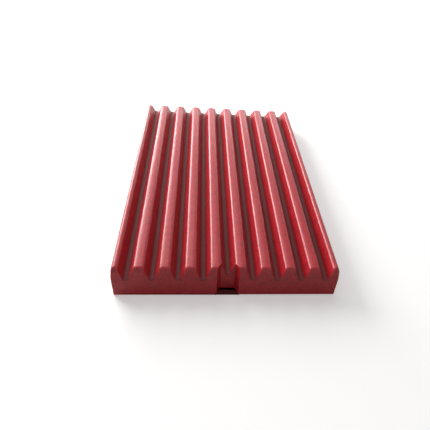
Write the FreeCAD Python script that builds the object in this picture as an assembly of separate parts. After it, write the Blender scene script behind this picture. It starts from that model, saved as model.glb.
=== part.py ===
import FreeCAD, Part
import math
import os

"""Jaw plate of a jaw crusher, cast in one piece of manganese steel.

The plate lies on its flat back face with its crushing ridges up. X runs across the ridges, Y along
them and Z from the back face to the crowns. The origin is the middle of the back face. Millimetres.
"""

# Body
PLATE_LENGTH = 900.0        # along the ridges, measured on the back face
BODY_THICKNESS = 50.0       # back face to groove floor
END_SLOPE = 15.0            # degrees that the clamping ends lean in towards the crowns

# Long side walls, widest at the parting line of the mould
SIDE_MARGIN = 5.0           # outer crown line to the widest part of the wall
PARTING_HEIGHT = 50.0       # back face to the parting line
UPPER_DRAFT = 5.0           # degrees that the wall leans in from the parting line to the crowns
LOWER_DRAFT = 3.5           # degrees that the wall leans in from the parting line to the back
PARTING_RADIUS = 60.0       # where the two drafts meet

# Ridges and grooves of the crushing face
GROOVE_COUNT = 9
RIDGE_PITCH = 65.0
RIDGE_HEIGHT = 34.0         # groove floor to crown
CROWN_WIDTH = 17.0          # chord of the flat arc on top of a ridge
CROWN_RADIUS = 45.0
SHOULDER_RADIUS = 10.0      # between the crown's arc and the flank
GROOVE_FLOOR_WIDTH = 3.0
GROOVE_RADIUS = 6.0         # between the flank and the groove floor

# Rounded edges
OUTER_CROWN_RADIUS = 9.0    # between the outer crowns and the side walls
CROWN_END_RADIUS = 13.0     # where the crowns run out into the clamping ends
BACK_EDGE_RADIUS = 3.0      # all round the back face

# Locating notch in the middle of the lower end, run through the whole thickness
NOTCH_MOUTH_WIDTH = 58.0
NOTCH_ROOT_WIDTH = 38.0
NOTCH_DEPTH = 21.0
NOTCH_ROOT_RADIUS = 5.0

# Worked out from the sizes above
PLATE_THICKNESS = BODY_THICKNESS + RIDGE_HEIGHT
RIDGED_WIDTH = GROOVE_COUNT * RIDGE_PITCH
PLATE_WIDTH = RIDGED_WIDTH + 2 * SIDE_MARGIN
CROWN_CENTRE_HEIGHT = PLATE_THICKNESS - CROWN_RADIUS
CUTTER_CLEARANCE = 20.0     # how far a cutter stands out of the casting
UP = 90.0                   # degrees, measured from +X towards +Z


def polar(centre, radius, degrees):
    """Point at a distance and angle from a centre, in the plane across the ridges."""
    angle = math.radians(degrees)
    return centre + FreeCAD.Vector(radius * math.cos(angle), 0, radius * math.sin(angle))


def arc(centre, radius, start, end):
    """Arc between two angles, in the plane across the ridges."""
    return Part.Arc(*[polar(centre, radius, angle) for angle in (start, (start + end) / 2, end)]).toShape()


def half_groove(crown_x, side, crown_start=UP):
    """Edges from the crown down to the groove floor on one side of it, side +1 towards +X or -1.

    The flank is the common tangent of the shoulder circle and the groove circle.
    """
    crown_turn = math.degrees(math.asin(CROWN_WIDTH / 2 / CROWN_RADIUS))
    crown_centre = FreeCAD.Vector(crown_x, 0, CROWN_CENTRE_HEIGHT)
    shoulder_centre = polar(crown_centre, CROWN_RADIUS - SHOULDER_RADIUS, UP - side * crown_turn)
    floor_end = FreeCAD.Vector(crown_x + side * (RIDGE_PITCH - GROOVE_FLOOR_WIDTH) / 2, 0, BODY_THICKNESS)
    groove_centre = polar(floor_end, GROOVE_RADIUS, UP)
    between = groove_centre - shoulder_centre
    descent = math.degrees(math.atan2(-between.z, side * between.x))
    tangent_turn = math.degrees(math.asin((SHOULDER_RADIUS + GROOVE_RADIUS) / between.Length))
    flank_normal = UP - side * (descent + tangent_turn)
    flank_top = polar(shoulder_centre, SHOULDER_RADIUS, flank_normal)
    flank_foot = polar(groove_centre, -GROOVE_RADIUS, flank_normal)
    return [
        arc(crown_centre, CROWN_RADIUS, crown_start, UP - side * crown_turn),
        arc(shoulder_centre, SHOULDER_RADIUS, UP - side * crown_turn, flank_normal),
        Part.makeLine(flank_top, flank_foot),
        arc(groove_centre, -GROOVE_RADIUS, flank_normal, UP),
    ], floor_end


def side_wall(side):
    """Edges from an outer crown round to the back face, side +1 at +X or -1 at -X.

    The rounding touches the crown's circle from inside and the upper wall. Its angle of contact on the
    crown and the corner of the back face come with the edges.
    """
    crown_centre = FreeCAD.Vector(side * RIDGED_WIDTH / 2, 0, CROWN_CENTRE_HEIGHT)
    parting_centre = FreeCAD.Vector(side * (PLATE_WIDTH / 2 - PARTING_RADIUS), 0, PARTING_HEIGHT)
    upper_normal = UP - side * (UP - UPPER_DRAFT)
    lower_normal = UP - side * (UP + LOWER_DRAFT)
    up_wall = polar(FreeCAD.Vector(), side, upper_normal + UP)
    inside_wall = polar(parting_centre, PARTING_RADIUS - OUTER_CROWN_RADIUS, upper_normal)
    start = inside_wall - crown_centre
    along = start.dot(up_wall)
    reach = CROWN_RADIUS - OUTER_CROWN_RADIUS
    rise = math.sqrt(along * along - start.dot(start) + reach * reach) - along
    rounding_centre = inside_wall + up_wall * rise
    offset = rounding_centre - crown_centre
    contact = math.degrees(math.atan2(offset.z, offset.x))
    wall_top = polar(rounding_centre, OUTER_CROWN_RADIUS, upper_normal)
    upper_foot = polar(parting_centre, PARTING_RADIUS, upper_normal)
    lower_top = polar(parting_centre, PARTING_RADIUS, lower_normal)
    undercut = lower_top.z * math.tan(math.radians(LOWER_DRAFT))
    back_corner = FreeCAD.Vector(lower_top.x - side * undercut, 0, 0)
    return [
        arc(rounding_centre, OUTER_CROWN_RADIUS, contact, upper_normal),
        Part.makeLine(wall_top, upper_foot),
        arc(parting_centre, PARTING_RADIUS, upper_normal, lower_normal),
        Part.makeLine(lower_top, back_corner),
    ], contact, back_corner


def cross_section():
    """Face across the plate, from its flat back to its ridges."""
    left_wall, left_contact, left_corner = side_wall(-1)
    right_wall, right_contact, right_corner = side_wall(1)
    starts = [left_contact] + [UP] * (GROOVE_COUNT - 1)
    ends = [UP] * (GROOVE_COUNT - 1) + [right_contact]
    edges = left_wall[::-1]
    for index in range(GROOVE_COUNT):
        crown_x = index * RIDGE_PITCH - RIDGED_WIDTH / 2
        left_side, left_floor_end = half_groove(crown_x, 1, starts[index])
        right_side, right_floor_end = half_groove(crown_x + RIDGE_PITCH, -1, ends[index])
        edges += left_side + [Part.makeLine(left_floor_end, right_floor_end)] + right_side[::-1]
    edges += right_wall + [Part.makeLine(right_corner, left_corner)]
    return Part.Face(Part.Wire(edges))


def prism(points, direction):
    """Extrude the closed outline through the points along the direction."""
    return Part.Face(Part.makePolygon(points + points[:1])).extrude(direction)


def side_profile():
    """Prism across the plate with the slope of both clamping ends and the rounded ends of the crowns."""
    half_width = PLATE_WIDTH / 2 + CUTTER_CLEARANCE
    half_length = PLATE_LENGTH / 2
    crown_half_length = half_length - PLATE_THICKNESS * math.tan(math.radians(END_SLOPE))
    profile = prism(
        [
            FreeCAD.Vector(-half_width, -half_length, 0),
            FreeCAD.Vector(-half_width, half_length, 0),
            FreeCAD.Vector(-half_width, crown_half_length, PLATE_THICKNESS),
            FreeCAD.Vector(-half_width, -crown_half_length, PLATE_THICKNESS),
        ],
        FreeCAD.Vector(2 * half_width, 0, 0),
    )
    crown_ends = [
        edge
        for edge in profile.Edges
        if edge.BoundBox.ZMin > BODY_THICKNESS and edge.Length > PLATE_WIDTH
    ]
    return profile.makeFillet(CROWN_END_RADIUS, crown_ends)


def notch_cutter():
    """Tapered prism that runs through the plate parallel to the lower clamping end."""
    end_y = -PLATE_LENGTH / 2
    slope = math.tan(math.radians(END_SLOPE))
    root = NOTCH_ROOT_WIDTH / 2
    mouth = NOTCH_MOUTH_WIDTH / 2
    outside = mouth + (mouth - root) * CUTTER_CLEARANCE / NOTCH_DEPTH
    cutter = prism(
        [
            FreeCAD.Vector(-outside, end_y - CUTTER_CLEARANCE, 0),
            FreeCAD.Vector(outside, end_y - CUTTER_CLEARANCE, 0),
            FreeCAD.Vector(root, end_y + NOTCH_DEPTH, 0),
            FreeCAD.Vector(-root, end_y + NOTCH_DEPTH, 0),
        ],
        FreeCAD.Vector(0, slope, 1) * (PLATE_THICKNESS + 2 * CUTTER_CLEARANCE),
    )
    cutter.translate(FreeCAD.Vector(0, -slope, -1) * CUTTER_CLEARANCE)
    root_edges = [
        edge
        for edge in cutter.Edges
        if edge.BoundBox.ZLength > PLATE_THICKNESS and abs(edge.CenterOfMass.x) < (root + mouth) / 2
    ]
    return cutter.makeFillet(NOTCH_ROOT_RADIUS, root_edges)


def jaw_plate():
    """The whole casting."""
    bar = cross_section().extrude(FreeCAD.Vector(0, PLATE_LENGTH, 0))
    bar.translate(FreeCAD.Vector(0, -PLATE_LENGTH / 2, 0))
    plate = bar.common(side_profile()).cut(notch_cutter())
    back_edges = [edge for edge in plate.Edges if edge.BoundBox.ZMax < BACK_EDGE_RADIUS / 2]
    return plate.makeFillet(BACK_EDGE_RADIUS, back_edges).Solids[0]


os.makedirs("parts", exist_ok=True)
jaw_plate().exportStep("parts/jaw_plate.step")
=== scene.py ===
"""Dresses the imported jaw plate: its cast form with rounded ridge ends, its red enamel and a studio."""

import logging
import math
from collections.abc import Callable
from dataclasses import dataclass, field
from enum import Enum
from itertools import pairwise

import bmesh
import bpy
from mathutils import Matrix, Vector


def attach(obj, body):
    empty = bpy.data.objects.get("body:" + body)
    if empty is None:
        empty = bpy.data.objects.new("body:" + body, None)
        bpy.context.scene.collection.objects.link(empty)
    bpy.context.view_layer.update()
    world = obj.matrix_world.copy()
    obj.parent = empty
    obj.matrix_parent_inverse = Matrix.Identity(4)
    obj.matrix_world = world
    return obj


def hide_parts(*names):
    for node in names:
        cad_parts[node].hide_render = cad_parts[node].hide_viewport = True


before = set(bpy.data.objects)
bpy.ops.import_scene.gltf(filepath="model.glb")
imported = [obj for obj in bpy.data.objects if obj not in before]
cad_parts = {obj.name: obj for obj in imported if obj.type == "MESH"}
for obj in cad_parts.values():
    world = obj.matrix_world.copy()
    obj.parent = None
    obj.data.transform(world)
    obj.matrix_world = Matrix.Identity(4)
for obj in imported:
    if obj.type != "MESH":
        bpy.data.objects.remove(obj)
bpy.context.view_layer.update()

MM = 0.001

log = logging.getLogger("jaw_plate")


class ClampingEnd(Enum):
    """The two bevelled ends of the plate, by the sign of their place along the ridges."""

    LOWER = -1
    UPPER = 1


class Side(Enum):
    """The two long sides of the plate, by the sign of their place across the ridges."""

    LEFT = -1
    RIGHT = 1


class NoiseKind(Enum):
    """Procedural patterns that a finish draws on."""

    CLOUDS = "ShaderNodeTexNoise"
    CELLS = "ShaderNodeTexVoronoi"


def linear(hex_colour: str) -> tuple[float, float, float, float]:
    """Turn a colour as it is seen into the linear values that the shader takes.

    Args:
        hex_colour: Six hexadecimal digits of an sRGB colour.

    Returns:
        Linear red, green and blue, with an alpha of 1.
    """
    channels = [int(hex_colour[index : index + 2], 16) / 255 for index in (0, 2, 4)]
    values = [value / 12.92 if value <= 0.04045 else ((value + 0.055) / 1.055) ** 2.4 for value in channels]
    return values[0], values[1], values[2], 1.0


def add_node(tree: bpy.types.NodeTree, kind: str, settings: dict = {}, **inputs: object) -> bpy.types.Node:
    """Add a shader node with its settings and inputs.

    Args:
        tree: Node tree that gets the node.
        kind: Type name of the node.
        settings: Properties of the node by name.
        inputs: A value or a socket to link for each input, by its name with underscores for spaces,
            or by i and its number where several inputs share a name.

    Returns:
        The new node.
    """
    node = tree.nodes.new(kind)
    for name, value in settings.items():
        setattr(node, name, value)
    for name, value in inputs.items():
        socket = node.inputs[int(name[1:])] if name[1:].isdigit() else node.inputs[name.replace("_", " ")]
        if isinstance(value, bpy.types.NodeSocket):
            tree.links.new(value, socket)
        else:
            socket.default_value = value
    return node


def deselect_all() -> None:
    """Leave no object selected and none active."""
    bpy.ops.object.select_all(action="DESELECT")
    bpy.context.view_layer.objects.active = None


class Pick(Enum):
    """What is selected in edit mode, with the selection mode for it."""

    VERTS = (True, False, False)
    EDGES = (False, True, False)
    FACES = (False, False, True)


def pick(kind: Pick, test: Callable[[object], bool]) -> int:
    """Select the elements of the mesh in edit mode that pass a test, and nothing else.

    Args:
        kind: Which elements are tested.
        test: Function that takes an element and says whether it is selected.

    Returns:
        Number of elements that passed.
    """
    bpy.context.tool_settings.mesh_select_mode = kind.value
    bpy.ops.mesh.select_all(action="DESELECT")
    data = bpy.context.object.data
    mesh = bmesh.from_edit_mesh(data)
    found = [element for element in getattr(mesh, kind.name.lower()) if test(element)]
    for element in found:
        element.select_set(True)
    mesh.select_flush_mode()
    bmesh.update_edit_mesh(data)
    return len(found)


def apply_modifiers(piece: bpy.types.Object) -> None:
    """Apply all modifiers of a piece, in their order."""
    bpy.context.view_layer.objects.active = piece
    for name in [modifier.name for modifier in piece.modifiers]:
        bpy.ops.object.modifier_apply(modifier=name)


@dataclass(frozen=True)
class RedEnamel:
    """Glossy red enamel over rough sand-cast steel, as a crusher maker sprays it on a new casting.

    Pattern sizes are in millimetres.
    """

    body_colour: str = "b3222b"
    thin_colour: str = "9a1e27"
    # Groove floor colour: dust plus painted shade of the grooves between the ridges.
    groove_dust_and_shade_colour: str = "6e2829"
    scar_colour: str = "2a1413"
    roughness: float = 0.3
    gloss: float = 0.45
    mottle_size: float = 12.0
    grain_size: float = 3.2
    pit_size: float = 26.0

    def material(self) -> bpy.types.Material:
        """Make the enamel's material.

        Returns:
            The new material.
        """
        material = bpy.data.materials.new("red_enamel")
        material.use_nodes = True
        tree = material.node_tree
        shader = tree.nodes["Principled BSDF"]
        place = add_node(tree, "ShaderNodeTexCoord")
        position = place.outputs["Object"]
        height = add_node(tree, "ShaderNodeSeparateXYZ", Vector=position).outputs["Z"]
        facing = add_node(tree, "ShaderNodeSeparateXYZ", Vector=place.outputs["Normal"]).outputs["Z"]

        # Sprayed enamel lies thick and thin over the rough skin, which the eye reads as faint blotches.
        blotches = self._noise(tree, position, NoiseKind.CLOUDS, self.mottle_size, 6.0)
        blotch_mask = self._window(tree, blotches, 0.40, 0.75)
        body = self._blend(tree, blotch_mask, linear(self.body_colour), linear(self.thin_colour))

        # Moulding dust settles in the grooves and dulls the floor between the ridges. The groove floors also carry
        # painted shade: their colour is darkened where the ridges on either side shade them.
        low = self._window(tree, height, 0.064, 0.052)
        level = self._window(tree, facing, 0.35, 0.9)
        groove_dust_and_shade = add_node(tree, "ShaderNodeMath", {"operation": "MULTIPLY"}, i0=low, i1=level).outputs[0]
        dust_and_shade_coloured = self._blend(tree, groove_dust_and_shade, body, linear(self.groove_dust_and_shade_colour))

        # Blowholes of the casting stay dark, because the enamel doesn't bridge them.
        cells = self._noise(tree, position, NoiseKind.CELLS, self.pit_size, 0.0)
        pits = self._window(tree, cells, 0.08, 0.04)
        pitted = self._blend(tree, pits, dust_and_shade_coloured, linear(self.scar_colour))
        tree.links.new(pitted, shader.inputs["Base Color"])

        grain = self._noise(tree, position, NoiseKind.CLOUDS, self.grain_size, 6.0)
        uneven = add_node(tree, "ShaderNodeMapRange", Value=grain)
        uneven.inputs["To Min"].default_value = self.roughness - 0.10
        uneven.inputs["To Max"].default_value = self.roughness + 0.12
        dulled = add_node(tree, "ShaderNodeMath", {"operation": "MULTIPLY"}, i0=groove_dust_and_shade, i1=0.35).outputs[0]
        rough = add_node(tree, "ShaderNodeMath", i0=uneven.outputs[0], i1=dulled).outputs[0]
        tree.links.new(rough, shader.inputs["Roughness"])

        shader.inputs["Specular IOR Level"].default_value = self.gloss

        # Sand grain telegraphs through the enamel as a fine orange peel.
        bump = add_node(tree, "ShaderNodeBump", Height=grain, Strength=0.12, Distance=0.6 * MM)
        deep = add_node(tree, "ShaderNodeMath", {"operation": "MULTIPLY"}, i0=pits, i1=-1.0).outputs[0]
        dents = add_node(tree, "ShaderNodeBump", Height=deep, Strength=0.6, Distance=1.2 * MM, Normal=bump.outputs[0])
        tree.links.new(dents.outputs[0], shader.inputs["Normal"])
        return material

    def _noise(
        self, tree: bpy.types.NodeTree, position: bpy.types.NodeSocket, kind: NoiseKind, size: float, detail: float
    ) -> bpy.types.NodeSocket:
        """Add a noise whose features have a real size.

        Args:
            tree: Node tree that gets the node.
            position: Socket with the position in metres.
            kind: Pattern to draw.
            size: Size of the features in millimetres.
            detail: Number of finer octaves.

        Returns:
            The pattern's value.
        """
        if kind is NoiseKind.CELLS:
            return add_node(tree, kind.value, Vector=position, Scale=1 / (size * MM)).outputs["Distance"]
        return add_node(tree, kind.value, Vector=position, Scale=1 / (size * MM), Detail=detail).outputs[0]

    def _window(self, tree: bpy.types.NodeTree, value: bpy.types.NodeSocket, low: float, high: float) -> bpy.types.NodeSocket:
        """Add a smooth step of a value from one limit to the other.

        Args:
            tree: Node tree that gets the node.
            value: Value to step.
            low: Value that gives 0.
            high: Value that gives 1.

        Returns:
            The stepped value.
        """
        settings = {"interpolation_type": "SMOOTHSTEP"}
        if low < high:
            return add_node(tree, "ShaderNodeMapRange", settings, Value=value, From_Min=low, From_Max=high).outputs[0]
        return add_node(
            tree, "ShaderNodeMapRange", settings, Value=value, From_Min=high, From_Max=low, To_Min=1.0, To_Max=0.0
        ).outputs[0]

    def _blend(
        self, tree: bpy.types.NodeTree, factor: bpy.types.NodeSocket, first: object, second: object
    ) -> bpy.types.NodeSocket:
        """Add a blend of two colours.

        Args:
            tree: Node tree that gets the node.
            factor: Share of the second colour.
            first: Colour or socket shown where the factor is 0.
            second: Colour or socket shown where the factor is 1.

        Returns:
            The blended colour.
        """
        node = add_node(tree, "ShaderNodeMix", {"data_type": "RGBA"}, i0=factor, i6=first, i7=second)
        return node.outputs[2]


@dataclass
class JawPlate:
    """The casting of the jaw plate. Sizes in millimetres and degrees, heights from the back face."""

    length: float = 900.0
    body_thickness: float = 50.0
    end_slope: float = 15.0
    side_margin: float = 5.0
    parting_height: float = 50.0
    upper_draft: float = 5.0
    lower_draft: float = 3.5
    parting_radius: float = 60.0
    groove_count: int = 9
    pitch: float = 65.0
    ridge_height: float = 34.0
    crown_width: float = 17.0
    crown_radius: float = 45.0
    shoulder_radius: float = 10.0
    groove_floor: float = 3.0
    groove_radius: float = 6.0
    outer_crown_radius: float = 9.0
    crown_end_radius: float = 13.0
    end_edge_radius: float = 3.0
    back_edge_radius: float = 3.0
    notch_mouth: float = 58.0
    notch_root: float = 38.0
    notch_depth: float = 21.0
    notch_root_radius: float = 5.0
    ridge_end_depth: float = 30.0
    end_depths: tuple[float, ...] = (9.64, 7.9, 6.4, 5.0, 3.9, 3.0, 2.22, 1.5, 0.88, 0.4, 0.1, 0.0)
    stations: int = 130
    finish: RedEnamel = field(default_factory=RedEnamel)

    @property
    def thickness(self) -> float:
        """Height of the crowns."""
        return self.body_thickness + self.ridge_height

    @property
    def half_width(self) -> float:
        """Half the width at the parting line."""
        return self.groove_count * self.pitch / 2 + self.side_margin

    @property
    def slope(self) -> float:
        """Run of a clamping end for each unit of its height."""
        return math.tan(math.radians(self.end_slope))

    def build(self) -> bpy.types.Object:
        """Model the casting.

        Returns:
            The finished object.
        """
        deselect_all()
        bpy.ops.mesh.primitive_plane_add(size=10 * MM, location=(0, 0, 0))
        plate = bpy.context.object
        plate.name = "jaw_plate_casting"
        bpy.ops.object.mode_set(mode="EDIT")
        self._draw_section()
        self._draw_out()
        for end in ClampingEnd:
            self._round_end(end)
        pick(Pick.EDGES, lambda edge: edge.calc_length() > self.length / 2 * MM)
        bpy.ops.mesh.subdivide(number_cuts=self.stations)
        bpy.ops.mesh.select_all(action="SELECT")
        bpy.ops.mesh.normals_make_consistent(inside=False)
        bpy.ops.object.mode_set(mode="OBJECT")
        self._cut_notch(plate)
        bpy.ops.object.mode_set(mode="EDIT")
        self._round_back_edge()
        bpy.ops.object.mode_set(mode="OBJECT")
        self._roughen(plate)
        self._dress(plate)
        return plate

    def _draw_section(self) -> None:
        """Draw the section across the plate as a line of edges, from the left back corner round to the right one."""
        bpy.ops.mesh.merge(type="CENTER")
        bpy.ops.transform.translate(value=self._back_corner(Side.LEFT) * MM)
        self._line_to(self._parting(Side.LEFT) + self._radial(self.parting_radius, 180 + self.lower_draft))
        self._arc(self._parting(Side.LEFT), self.lower_draft + self.upper_draft, 5)
        centre, contact = self._outer_rounding(Side.LEFT)
        self._line_to(centre + self._radial(self.outer_crown_radius, 180 - self.upper_draft))
        self._arc(centre, 180 - self.upper_draft - contact, 8)
        turn = math.degrees(math.asin(self.crown_width / 2 / self.crown_radius))
        start = contact
        for groove in range(self.groove_count):
            crown_x = (groove - self.groove_count / 2) * self.pitch
            crown = Vector((crown_x, 0, self.thickness - self.crown_radius))
            self._arc(crown, start - 90 + turn, 6)
            self._draw_groove(crown, turn)
            start = 90 + turn
        crown.x += self.pitch
        centre, contact = self._outer_rounding(Side.RIGHT)
        self._arc(crown, start - contact, 6)
        self._arc(centre, contact - self.upper_draft, 8)
        self._line_to(self._parting(Side.RIGHT) + self._radial(self.parting_radius, self.upper_draft))
        self._arc(self._parting(Side.RIGHT), self.lower_draft + self.upper_draft, 5)
        self._line_to(self._back_corner(Side.RIGHT))

    def _draw_groove(self, crown: Vector, turn: float) -> None:
        """Draw one groove, from the right shoulder of a ridge to the left shoulder of the next.

        Args:
            crown: Centre of the crown's arc.
            turn: Half the crown's arc in degrees.
        """
        shoulder = crown + self._radial(self.crown_radius - self.shoulder_radius, 90 - turn)
        floor_end = Vector((crown.x + (self.pitch - self.groove_floor) / 2, 0, self.body_thickness))
        hollow = floor_end + Vector((0, 0, self.groove_radius))
        between = hollow - shoulder
        descent = math.degrees(math.atan2(-between.z, between.x))
        tangent = math.degrees(math.asin((self.shoulder_radius + self.groove_radius) / between.length))
        normal = 90 - descent - tangent
        self._arc(shoulder, 90 - turn - normal, 7)
        self._line_to(hollow - self._radial(self.groove_radius, normal), 4)
        self._arc(hollow, normal - 90, 5)
        self._line_to(floor_end + Vector((self.groove_floor, 0, 0)))
        hollow.x += self.groove_floor
        self._arc(hollow, normal - 90, 5)
        shoulder.x = 2 * crown.x + self.pitch - shoulder.x
        self._line_to(shoulder + self._radial(self.shoulder_radius, 180 - normal), 4)
        self._arc(shoulder, 90 - turn - normal, 7)

    def _radial(self, radius: float, degrees: float) -> Vector:
        """Vector of a length at an angle from +X towards +Z."""
        angle = math.radians(degrees)
        return Vector((radius * math.cos(angle), 0, radius * math.sin(angle)))

    def _parting(self, side: Side) -> Vector:
        """Centre of the rounding along the parting line of a side."""
        return Vector((side.value * (self.half_width - self.parting_radius), 0, self.parting_height))

    def _back_corner(self, side: Side) -> Vector:
        """Corner of the back face on a side, before it is rounded."""
        top = self._parting(Side.RIGHT) + self._radial(self.parting_radius, -self.lower_draft)
        return Vector((side.value * (top.x - top.z * math.tan(math.radians(self.lower_draft))), 0, 0))

    def _outer_rounding(self, side: Side) -> tuple[Vector, float]:
        """Find the rounding between an outer crown and its side wall.

        Args:
            side: Side of the plate.

        Returns:
            Centre of the rounding and the angle in degrees at which it touches the crown's arc.
        """
        crown = Vector((self.groove_count * self.pitch / 2, 0, self.thickness - self.crown_radius))
        wall = self._radial(1, 90 + self.upper_draft)
        reach = self.parting_radius - self.outer_crown_radius
        inside = self._parting(Side.RIGHT) + self._radial(reach, self.upper_draft)
        start = inside - crown
        along = start.dot(wall)
        gap = self.crown_radius - self.outer_crown_radius
        centre = inside + wall * (math.sqrt(along**2 - start.length_squared + gap**2) - along)
        contact = math.degrees(math.atan2(centre.z - crown.z, centre.x - crown.x))
        if side is Side.RIGHT:
            return centre, contact
        return Vector((-centre.x, 0, centre.z)), 180 - contact

    def _arc(self, centre: Vector, turn: float, steps: int) -> None:
        """Draw an arc on from the selected vertex.

        Args:
            centre: Centre of the arc.
            turn: Clockwise angle in degrees, as seen from the lower end.
            steps: Number of edges in the arc.
        """
        bpy.ops.mesh.spin(steps=steps, angle=math.radians(turn), center=centre * MM, axis=(0, -1, 0))

    def _line_to(self, point: Vector, steps: int = 1) -> None:
        """Draw a straight line on from the selected vertex.

        Args:
            point: End of the line.
            steps: Number of edges in the line.
        """
        mesh = bmesh.from_edit_mesh(bpy.context.object.data)
        here = next(vertex.co for vertex in mesh.verts if vertex.select)
        stride = (point * MM - here) / steps
        for _ in range(steps):
            bpy.ops.mesh.extrude_region_move(TRANSFORM_OT_translate={"value": stride})

    def _draw_out(self) -> None:
        """Close the section along the back and draw it out along the ridges."""
        pick(Pick.VERTS, lambda vertex: vertex.co.z < MM / 2)
        bpy.ops.mesh.edge_face_add()
        bpy.ops.mesh.select_all(action="SELECT")
        bpy.ops.transform.translate(value=(0, -self.length * MM, 0))
        bpy.ops.mesh.extrude_region_move(TRANSFORM_OT_translate={"value": (0, 2 * self.length * MM, 0)})

    def _edge_inset(self, depth: float) -> float:
        """How far the rounded end edge lies inside the section, at a depth below the clamping end."""
        radius = self.end_edge_radius
        return radius - math.sqrt(radius**2 - max(radius - depth, 0) ** 2)

    def _crown_drop(self, depth: float) -> float:
        """How far the rounded crown lies below its full height, at a depth below the clamping end."""
        radius = self.crown_end_radius
        turn = math.radians(90 - self.end_slope) - math.acos(1 - depth / radius)
        return radius * (1 - math.cos(max(turn, 0)))

    def _round_end(self, end: ClampingEnd) -> None:
        """Cut one clamping end to its slope, and round its edges and the ends of its crowns ring by ring."""
        slope = math.radians(self.end_slope)
        outward = Vector((0, end.value * math.cos(slope), math.sin(slope)))
        up = Vector((0, -end.value * math.sin(slope), math.cos(slope)))
        foot = Vector((0, end.value * self.length / 2, 0))
        bpy.ops.mesh.select_all(action="SELECT")
        bpy.ops.mesh.bisect(
            plane_co=(foot - outward * self.end_depths[0]) * MM, plane_no=outward, use_fill=True, clear_outer=True
        )

        def is_cap(face: bmesh.types.BMFace) -> bool:
            return len(face.verts) > 4 and face.calc_center_median().y * end.value > 0

        for last, depth in pairwise(self.end_depths):
            pick(Pick.FACES, is_cap)
            inset = self._edge_inset(depth) - self._edge_inset(last)
            bpy.ops.mesh.inset(thickness=inset * MM, depth=0)
            bpy.ops.transform.translate(value=(0, end.value * (last - depth) / math.cos(slope) * MM, 0))
            plane = foot - outward * depth

            def on_cap(vertex: bmesh.types.BMVert) -> bool:
                return abs((vertex.co - plane * MM).dot(outward)) < 0.01 * MM

            pick(Pick.VERTS, lambda vertex: on_cap(vertex) and vertex.co.z < self.parting_height / 2 * MM)
            bpy.ops.transform.translate(value=-up * inset * MM)
            pivot = plane + up * ((self.thickness - self.ridge_end_depth - plane.z) / up.z)
            count = pick(Pick.VERTS, lambda vertex: on_cap(vertex) and vertex.co.z > pivot.z * MM)
            mesh = bmesh.from_edit_mesh(bpy.context.object.data)
            top = max(vertex.co.z for vertex in mesh.verts if vertex.select) / MM
            shrink = (self.thickness - self._crown_drop(depth) - pivot.z) / (top - pivot.z)
            if shrink < 1 and count:
                bpy.ops.transform.resize(value=(1, shrink, shrink), center_override=pivot * MM)

    def _cut_notch(self, plate: bpy.types.Object) -> None:
        """Cut the locating notch into the lower end, with a tapered cutter that leans as the end does.

        Args:
            plate: The casting.
        """
        clearance = 20.0
        root_y = self.notch_depth - self.length / 2
        outer_y = -self.length / 2 - clearance
        taper = (self.notch_mouth - self.notch_root) / self.notch_depth
        outer_width = self.notch_mouth + taper * clearance
        size = root_y - outer_y
        deselect_all()
        foot = Vector((0, (root_y + outer_y) / 2 - clearance * self.slope, -clearance))
        bpy.ops.mesh.primitive_plane_add(size=size * MM, location=foot * MM)
        cutter = bpy.context.object
        bpy.ops.object.transform_apply(location=True)
        bpy.ops.object.mode_set(mode="EDIT")
        for width, sign in ((outer_width, -1), (self.notch_root, 1)):
            pick(Pick.VERTS, lambda vertex: (vertex.co.y - foot.y * MM) * sign > 0)
            bpy.ops.transform.resize(value=(width / size, 1, 1), center_override=foot * MM)
        corner = math.atan(taper / 2) + math.pi / 2
        offset = self.notch_root_radius / math.tan(corner / 2)
        bpy.ops.mesh.bevel(offset=offset * MM, segments=5, affect="VERTICES")
        bpy.ops.mesh.select_all(action="SELECT")
        reach = (self.thickness + 2 * clearance) * MM
        bpy.ops.mesh.extrude_region_move(TRANSFORM_OT_translate={"value": (0, reach * self.slope, reach)})
        bpy.ops.mesh.select_all(action="SELECT")
        bpy.ops.mesh.normals_make_consistent(inside=False)
        bpy.ops.object.mode_set(mode="OBJECT")
        bpy.context.view_layer.objects.active = plate
        cut = plate.modifiers.new("locating_notch", "BOOLEAN")
        cut.object = cutter
        cut.operation = "DIFFERENCE"
        cut.solver = "MANIFOLD"
        apply_modifiers(plate)
        bpy.data.objects.remove(cutter)

    def _round_back_edge(self) -> None:
        """Round the edge all round the flat back face."""
        pick(Pick.FACES, lambda face: face.normal.z < -0.999 and face.calc_center_median().z < 0.01 * MM)
        bpy.ops.mesh.dissolve_faces()
        pick(Pick.EDGES, lambda edge: all(vertex.co.z < 0.01 * MM for vertex in edge.verts))
        bpy.ops.mesh.bevel(offset=self.back_edge_radius * MM, segments=4, affect="EDGES", clamp_overlap=False)
        bpy.ops.mesh.select_all(action="SELECT")
        bpy.ops.mesh.normals_make_consistent(inside=False)

    def _roughen(self, plate: bpy.types.Object) -> None:
        """Sink the skin here and there, as the sand mould leaves it.

        Args:
            plate: The casting.
        """
        slope = math.radians(self.end_slope)
        cast = plate.vertex_groups.new(name="cast_skin")

        def on_flat(place: Vector) -> bool:
            reach = (self.length / 2 - abs(place.y) / MM) * math.cos(slope) - place.z / MM * math.sin(slope)
            return reach < 0.1 or place.z < 0.1 * MM

        cast.add([vertex.index for vertex in plate.data.vertices if not on_flat(vertex.co)], 1.0, "REPLACE")
        for name, size, depth in (("warp", 140.0, 0.8), ("lumps", 34.0, 0.7), ("grit", 9.0, 0.45)):
            texture = bpy.data.textures.new(name, "CLOUDS")
            texture.noise_scale = size * MM
            texture.noise_depth = 2
            sink = plate.modifiers.new(name, "DISPLACE")
            sink.texture = texture
            sink.texture_coords = "LOCAL"
            sink.vertex_group = cast.name
            sink.strength = depth * MM
            sink.mid_level = 1.0
        apply_modifiers(plate)
        plate.data.materials.clear()

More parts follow.
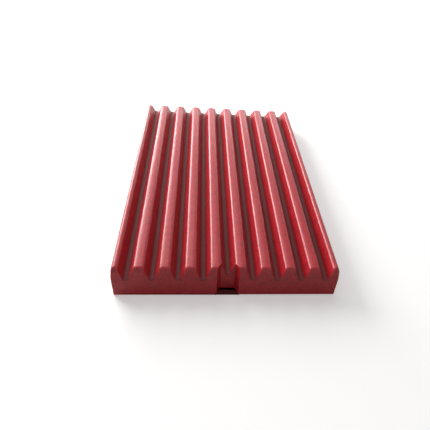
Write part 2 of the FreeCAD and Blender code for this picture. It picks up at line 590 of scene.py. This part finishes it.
    def _dress(self, plate: bpy.types.Object) -> None:
        """Put the enamel on the casting.

        Args:
            plate: The casting.
        """
        plate.data.materials.append(self.finish.material())
        bpy.ops.object.shade_smooth_by_angle(angle=math.radians(40))
        flatten = plate.modifiers.new("flat_ends", "WEIGHTED_NORMAL")
        flatten.keep_sharp = True
        apply_modifiers(plate)
        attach(plate, "root")
        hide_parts("jaw_plate")
        log.info("%s: %d faces", plate.name, len(plate.data.polygons))


@dataclass
class Softbox:
    """Rectangular lamp that looks at the middle of the plate. Sizes and places in metres."""

    name: str
    place: tuple[float, float, float]
    width: float
    height: float
    level: float
    along: tuple[float, float, float] = (1.0, 0.0, 0.0)
    target: tuple[float, float, float] = (0.0, 0.0, 0.08)

    def build(self) -> bpy.types.Object:
        """Hang the lamp, with its width along its own direction.

        Returns:
            The lamp. Its level is the brightness of a white surface that faces it.
        """
        aim = Vector(self.target) - Vector(self.place)
        back = -aim.normalized()
        across = Vector(self.along)
        across = (across - back * across.dot(back)).normalized()
        turn = Matrix((across, back.cross(across), back)).transposed().to_euler()
        deselect_all()
        bpy.ops.object.light_add(type="AREA", location=self.place, rotation=turn)
        lamp = bpy.context.object
        lamp.name = self.name
        lamp.visible_camera = False
        lamp.data.shape = "RECTANGLE"
        lamp.data.size = self.width
        lamp.data.size_y = self.height
        lamp.data.energy = self.level * math.pi**2 * aim.length_squared
        radiance = lamp.data.energy / (math.pi * self.width * self.height)
        log.info("%s: %.0f W, %.1f times white", lamp.name, lamp.data.energy, radiance)
        return lamp


@dataclass
class Studio:
    """Pale floor, soft light and the camera."""

    floor_colour: str = "eeedeb"
    floor_size: float = 30.0
    paper_white: float = 0.35
    sky_level: float = 0.25
    camera_place: tuple[float, float, float] = (-0.08336, -0.98397, 0.81318)
    camera_turn: tuple[float, float, float] = (46.0591, -5.0621, -3.584)
    lens: float = 29.971
    sensor: float = 36.0
    shift: tuple[float, float] = (-0.0474, 0.0005)
    lamps: tuple[Softbox, ...] = (
        Softbox("left_key", (-1.75, 1.95, 1.3), 2.3, 1.4, 1.55, along=(0.37, 0.86, -0.35)),
        Softbox("far_panel", (0.0, 3.6, 1.3), 4.0, 1.0, 0.3),
        Softbox("high_fill", (-0.6, 2.0, 2.9), 2.5, 1.6, 0.2),
        Softbox("right_glow", (2.9, 2.9, 0.45), 1.8, 0.5, 0.03, along=(1.0, -1.0, 0.0)),
    )

    def build(self) -> None:
        """Set up the studio."""
        self._lay_floor()
        self._light()
        self._place_camera()

    def _lay_floor(self) -> None:
        """Lay the floor that the plate's back face rests on."""
        deselect_all()
        bpy.ops.mesh.primitive_plane_add(size=self.floor_size, location=(0, 0, -0.1 * MM))
        floor = bpy.context.object
        floor.name = "studio_floor"
        bpy.ops.object.transform_apply(location=True)
        paper = bpy.data.materials.new("matt_paper")
        paper.use_nodes = True
        shader = paper.node_tree.nodes["Principled BSDF"]
        shader.inputs["Base Color"].default_value = linear(self.floor_colour)
        shader.inputs["Roughness"].default_value = 0.9
        shader.inputs["Specular IOR Level"].default_value = 0.1
        shader.inputs["Emission Color"].default_value = (1, 1, 1, 1)
        path = add_node(paper.node_tree, "ShaderNodeLightPath")
        seen = add_node(
            paper.node_tree, "ShaderNodeMath", {"operation": "MULTIPLY"}, i0=path.outputs["Is Camera Ray"], i1=self.paper_white
        )
        paper.node_tree.links.new(seen.outputs[0], shader.inputs["Emission Strength"])
        floor.data.materials.append(paper)

    def _light(self) -> None:
        """Light the plate from an even sky, which is seen and mirrored as white, and from the lamps."""
        world = bpy.data.worlds.new("studio_sky")
        world.use_nodes = True
        tree = world.node_tree
        path = add_node(tree, "ShaderNodeLightPath")
        seen = path.outputs["Is Camera Ray"]
        for kind in ("Is Glossy Ray", "Is Transmission Ray"):
            seen = add_node(tree, "ShaderNodeMath", {"operation": "MAXIMUM"}, i0=seen, i1=path.outputs[kind]).outputs[0]
        level = add_node(tree, "ShaderNodeMapRange", Value=seen, To_Min=self.sky_level, To_Max=1.0)
        background = tree.nodes["Background"]
        background.inputs["Color"].default_value = (1, 1, 1, 1)
        tree.links.new(level.outputs[0], background.inputs["Strength"])
        bpy.context.scene.world = world
        for lamp in self.lamps:
            lamp.build()

    def _place_camera(self) -> None:
        """Place the camera and look through it."""
        turn = [math.radians(angle) for angle in self.camera_turn]
        deselect_all()
        bpy.ops.object.camera_add(location=self.camera_place, rotation=turn)
        camera = bpy.context.object
        camera.name = "view_from_lower_end"
        camera.data.sensor_width = self.sensor
        camera.data.lens = self.lens
        camera.data.shift_x, camera.data.shift_y = self.shift
        bpy.context.scene.camera = camera
        bpy.context.scene.view_settings.view_transform = "Standard"


def main() -> None:
    """Build the plate and the studio."""
    logging.basicConfig(level=logging.INFO)
    JawPlate().build()
    Studio().build()


if __name__ == "__main__":
    main()
